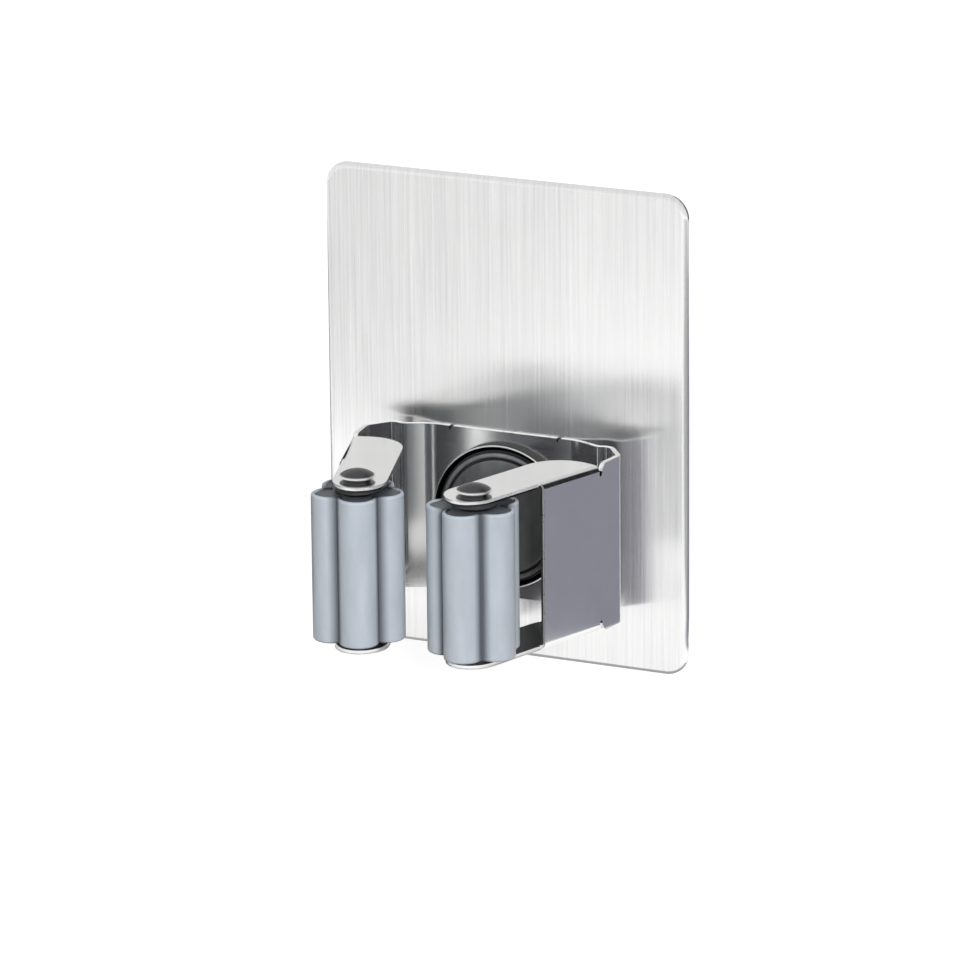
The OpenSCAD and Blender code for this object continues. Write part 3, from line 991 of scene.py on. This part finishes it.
def roller_mesh(name, side, rings, material):
    """A closed skin over rings of (points round the axle, height)."""
    at = Vector((side * axle.x, axle.y - PLATE_FRONT))
    placed = [[(at.x + p.x, at.y + p.y, z - CLIP_DROP) for p in ring] for ring, z in rings]
    verts, faces = ring_stack(placed, closed=True)
    obj = link_mesh(name, verts, outward(verts, faces), [material])
    # Painted shade: the sleeve's colour darkens into the hollows between the lobes.
    mark(obj, [clamp((p.length - GROOVE_R) / GROOVE_DEPTH) for ring, _ in rings for p in ring])
    return even_normals(obj, angle=50)


def rounded_ends(outline, half, reach, steps):
    """Rings up a lobed wall whose ends are rounded; outline(inset) gives a ring."""
    up = []
    for i in range(steps + 1):
        turn = math.pi / 2 * i / steps
        up.append((outline(reach * (1 - math.cos(turn))), half - reach * (1 - math.sin(turn))))
    return mirrored(up) + up


def mirrored(rings):
    """The same rings at the other end, in reverse."""
    return [(ring, -z) for ring, z in reversed(rings)]


def sleeve(name, side, phase):
    """The rubber sleeve, with a seat inside each end for the core's end plate."""
    half = ROLLER_LEN / 2
    end = half - CORE_RECESS - END_PLATE_T
    outer = rounded_ends(lambda inset: sleeve_ring(phase, inset), half, SLEEVE_TURN_R, steps=8)
    seat = sleeve_ring(phase, RIM_T)
    inner = [(sleeve_ring(phase, RIM_T - LIP), half), (seat, half - LIP), (seat, end),
             (core_ring(phase, 0.0), end)]
    return roller_mesh(name, side, outer + inner + mirrored(inner), sleeve_rubber)


def core(name, side, phase):
    """The hard core: a lobed bar with wider end plates and a bore that is sunk at both ends."""
    half = ROLLER_LEN / 2 - CORE_RECESS
    end = half - END_PLATE_T + PLAY
    wall = core_ring(phase, PLAY)
    plates = rounded_ends(lambda inset: sleeve_ring(phase, RIM_T + inset + PLAY), half, CORE_TURN_R,
                          steps=4)
    lower, upper = plates[:len(plates) // 2], plates[len(plates) // 2:]
    edge = upper[0][0]
    outer = lower + [(edge, -end), (wall, -end), (wall, end), (edge, end)] + upper
    circle = [unit(phase + 360 * k / ROLLER_STEPS) for k in range(ROLLER_STEPS)]
    floor_h = half - SINK_H
    bore = [(SINK_R, half), (SINK_FLOOR_R, floor_h), (CORE_BORE_R + BORE_BEVEL, floor_h),
            (CORE_BORE_R, floor_h - BORE_BEVEL)]
    inner = [([r * c for c in circle], z) for r, z in bore]
    return roller_mesh(name, side, outer + inner + mirrored(inner), core_plastic)


def on_flange(side):
    """Places what is turned about an axle, with heights from the top of the upper flange."""
    def place(p):
        return (side * axle.x + p[0], axle.y - PLATE_FRONT + p[1], STRIP_EDGE - CLIP_DROP + p[2])
    return place


for word, side, phase in (("right", 1, RIGHT_PHASE), ("left", -1, LEFT_PHASE)):
    rivet = lathe(word + "_rivet", rivet_profile(), on_flange(side), rivet_painted_steel, rivet_light_mask, RIVET_STEPS)
    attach(rivet, word + "_lever")
    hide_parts(word + "_axle_rivet")

    rubber = sleeve(word + "_sleeve", side, phase)
    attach(rubber, word + "_roller")
    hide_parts(word + "_roller_sleeve")

    hub = core(word + "_core", side, phase)
    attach(hub, word + "_roller")
    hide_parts(word + "_roller_core")


# CAD nodes that stay, with a finish of their own
for node, finish in (("centre_rivet", rivet_steel),
                     ("right_axle_tube", tube_steel), ("left_axle_tube", tube_steel),
                     ("right_upper_washer", washer_plastic), ("right_lower_washer", washer_plastic),
                     ("left_upper_washer", washer_plastic), ("left_lower_washer", washer_plastic)):
    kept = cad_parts[node]
    kept.data.materials.clear()
    kept.data.materials.append(finish)


# Floor, light and camera, in metres


FLOOR_SIZE = 6.0
FLOOR_Z = -PLATE_H / 2 * MM - 0.0002
HORIZON, HORIZON_COLOUR = 0.36, grey(1.0)
OVERHEAD, OVERHEAD_COLOUR = 0.52, (0.88, 0.88, 0.89)
SKY_STRENGTH = 0.95
OBJECT_AT = (0.0, -0.03, -0.02)

# The photo's camera: angles in degrees, the distance from the middle of the plate's front, the scale
# there, and that point's place in the picture
AZIMUTH, ELEVATION, ROLL = 24.96, 15.94, -0.56
DISTANCE = 1.277
PX_PER_M = 4944.0
FRAME_PX = 960.0
PLATE_PX = (505.4, 418.6)
SENSOR_MM = 36.0


def stage_sheet(name, size, material):
    """A flat rectangle that is not part of the object."""
    w, h = size[0] / 2, size[1] / 2
    mesh = bpy.data.meshes.new(name)
    mesh.from_pydata([(-w, -h, 0), (w, -h, 0), (w, h, 0), (-w, h, 0)], [], [(0, 1, 2, 3)])
    mesh.materials.append(material)
    obj = bpy.data.objects.new(name, mesh)
    bpy.context.scene.collection.objects.link(obj)
    return obj


def floor():
    f = Finish("pale_floor")
    f.set(Roughness=0.9, Specular_IOR_Level=0.1, Base_Color=(*grey(0.35), 1.0))
    f.set(Emission_Color=(*grey(1.0), 1.0), Emission_Strength=0.8)
    obj = stage_sheet("floor", (FLOOR_SIZE, FLOOR_SIZE), f.mat)
    obj.location = (0.0, 0.0, FLOOR_Z)
    obj.visible_diffuse = False


def sky():
    """White round the horizon, greyer overhead. It shows in reflections; the lamps light the rest."""
    world = bpy.data.worlds.new("studio")
    bpy.context.scene.world = world
    world.use_nodes = True
    world.cycles_visibility.diffuse = False
    tree = world.node_tree
    tree.nodes.clear()
    where = tree.nodes.new("ShaderNodeTexCoord")
    split = tree.nodes.new("ShaderNodeSeparateXYZ")
    ramp = tree.nodes.new("ShaderNodeValToRGB")
    shade = tree.nodes.new("ShaderNodeBackground")
    out = tree.nodes.new("ShaderNodeOutputWorld")
    low, high = ramp.color_ramp.elements
    low.position, low.color = HORIZON, (*HORIZON_COLOUR, 1.0)
    high.position, high.color = OVERHEAD, (*OVERHEAD_COLOUR, 1.0)
    shade.inputs["Strength"].default_value = SKY_STRENGTH
    tree.links.new(where.outputs["Generated"], split.inputs["Vector"])
    tree.links.new(split.outputs["Z"], ramp.inputs["Fac"])
    tree.links.new(ramp.outputs["Color"], shade.inputs["Color"])
    tree.links.new(shade.outputs["Background"], out.inputs["Surface"])


def soft_light(name, at, towards, size, power):
    """A rectangular lamp that polished steel doesn't mirror."""
    light = bpy.data.lights.new(name, "AREA")
    light.shape = "RECTANGLE"
    light.size, light.size_y = size
    light.energy = power
    obj = bpy.data.objects.new(name, light)
    obj.location = at
    obj.rotation_euler = (Vector(towards) - Vector(at)).to_track_quat("-Z", "Y").to_euler()
    obj.visible_glossy = False
    bpy.context.scene.collection.objects.link(obj)


def card(name, at, towards, size, colour, one_sided=False):
    """A card that only shows in reflections. A one-sided card shows only from the side it faces."""
    f = Finish(name)
    f.set(Base_Color=(*grey(0.0), 1.0), Specular_IOR_Level=0.0)
    f.set(Emission_Color=(*colour, 1.0), Emission_Strength=1.0)
    if one_sided:
        facing = f.add("ShaderNodeMath", operation="SUBTRACT")
        facing.inputs[0].default_value = 1.0
        f.link(f.add("ShaderNodeNewGeometry").outputs["Backfacing"], facing.inputs[1])
        f.drive("Alpha", facing.outputs["Value"])
    obj = stage_sheet(name, size, f.mat)
    obj.location = at
    obj.rotation_euler = (Vector(towards) - Vector(at)).to_track_quat("Z", "Y").to_euler()
    for ray in ("camera", "diffuse", "transmission", "shadow", "volume_scatter"):
        setattr(obj, "visible_" + ray, False)


def flat_card(name, at, size, colour):
    """A card that faces straight up."""
    card(name, at, (at[0], at[1], 1.0), size, colour)


def camera():
    azimuth, elevation, roll = (math.radians(d) for d in (AZIMUTH, ELEVATION, ROLL))
    anchor = Vector((0.0, -PLATE_FRONT * MM, 0.0))
    right = Vector((math.cos(azimuth), math.sin(azimuth), 0.0))
    back = Vector((math.sin(azimuth) * math.cos(elevation), -math.cos(azimuth) * math.cos(elevation),
                   math.sin(elevation)))
    up = back.cross(right)
    du, dv = (FRAME_PX / 2 - px for px in PLATE_PX)
    u = math.cos(roll) * du + math.sin(roll) * dv
    v = -math.sin(roll) * du + math.cos(roll) * dv
    target = anchor + right * (u / PX_PER_M) - up * (v / PX_PER_M)
    at = anchor + back * DISTANCE
    ahead = (target - at).normalized()
    across = ahead.cross(Vector((0.0, 0.0, 1.0))).normalized()
    turn = Matrix((across, across.cross(ahead), -ahead)).transposed()
    turn = turn @ Matrix.Rotation(roll, 3, "Z")
    data = bpy.data.cameras.new("camera")
    data.sensor_width = SENSOR_MM
    data.lens = PX_PER_M * DISTANCE / FRAME_PX * data.sensor_width
    data.clip_start, data.clip_end = 0.05, 20.0
    obj = bpy.data.objects.new("camera", data)
    obj.matrix_world = Matrix.Translation(at) @ turn.to_4x4()
    bpy.context.scene.collection.objects.link(obj)
    bpy.context.scene.camera = obj


floor()
sky()
soft_light("key", (0.70, -0.95, 0.36), OBJECT_AT, size=(0.35, 0.35), power=18.5)
soft_light("fill", (-0.7, -0.6, 0.2), OBJECT_AT, size=(0.8, 0.8), power=3.0)
soft_light("top", (0.0, -0.2, 1.1), (0.0, -0.2, 0.0), size=(1.2, 1.2), power=5.0)
soft_light("backdrop", (0.0, 1.0, 0.9), (0.0, 0.6, -0.05), size=(1.6, 0.8), power=14.0)

# The greys that the arms' webs, the cut edges and the plate's foot mirror
WEB_GREY = (0.265, 0.265, 0.318)
flat_card("side_card", (0.205, 0.090, -0.047), (0.30, 0.22), WEB_GREY)
flat_card("left_side_card", (-0.205, 0.085, -0.047), (0.30, 0.23), WEB_GREY)
flat_card("near_card", (0.0530, -0.0065, -0.0475), (0.006, 0.023), (0.265, 0.265, 0.30))
card("strip_card", (0.0305, -0.0100, -0.0210), (-1.0, -0.0100, -0.0210), (0.0100, 0.035), WEB_GREY,
     one_sided=True)
flat_card("edge_card", (0.24, -0.1375, -0.0485), (0.34, 0.235), grey(0.45))
flat_card("foot_card", (0.0, 0.0044, -0.0501), (0.084, 0.014), grey(0.42))
flat_card("far_card", (-0.38, -0.42, -0.0490), (0.56, 0.60), grey(0.80))
flat_card("right_far_card", (0.38, -0.42, -0.0490), (0.56, 0.60), grey(0.80))

# The darks of a room, which give polished steel its contrast
flat_card("tip_card", (-0.012, -0.0500, -0.0490), (0.040, 0.022), grey(0.05))
card("left_card", (-0.069, 0.03, -0.001), (-0.069, -1.0, -0.001), (0.05, 0.04), grey(0.01))
card("middle_card", (0.0, -0.0265, -0.0265), (1.0, -0.0265, -0.0265), (0.036, 0.035),
     (0.04, 0.04, 0.045))
card("high_card", (0.26, 0.22, 0.10), (0.03, -0.03, -0.003), (0.50, 0.30), (0.01, 0.01, 0.012))
card("ceiling_card", (0.575, 0.45, 0.50), (0.575, 0.45, 0.0), (1.05, 0.50), (0.02, 0.02, 0.024))
camera()
bpy.context.scene.view_settings.view_transform = "Standard"

bpy.context.view_layer.update()
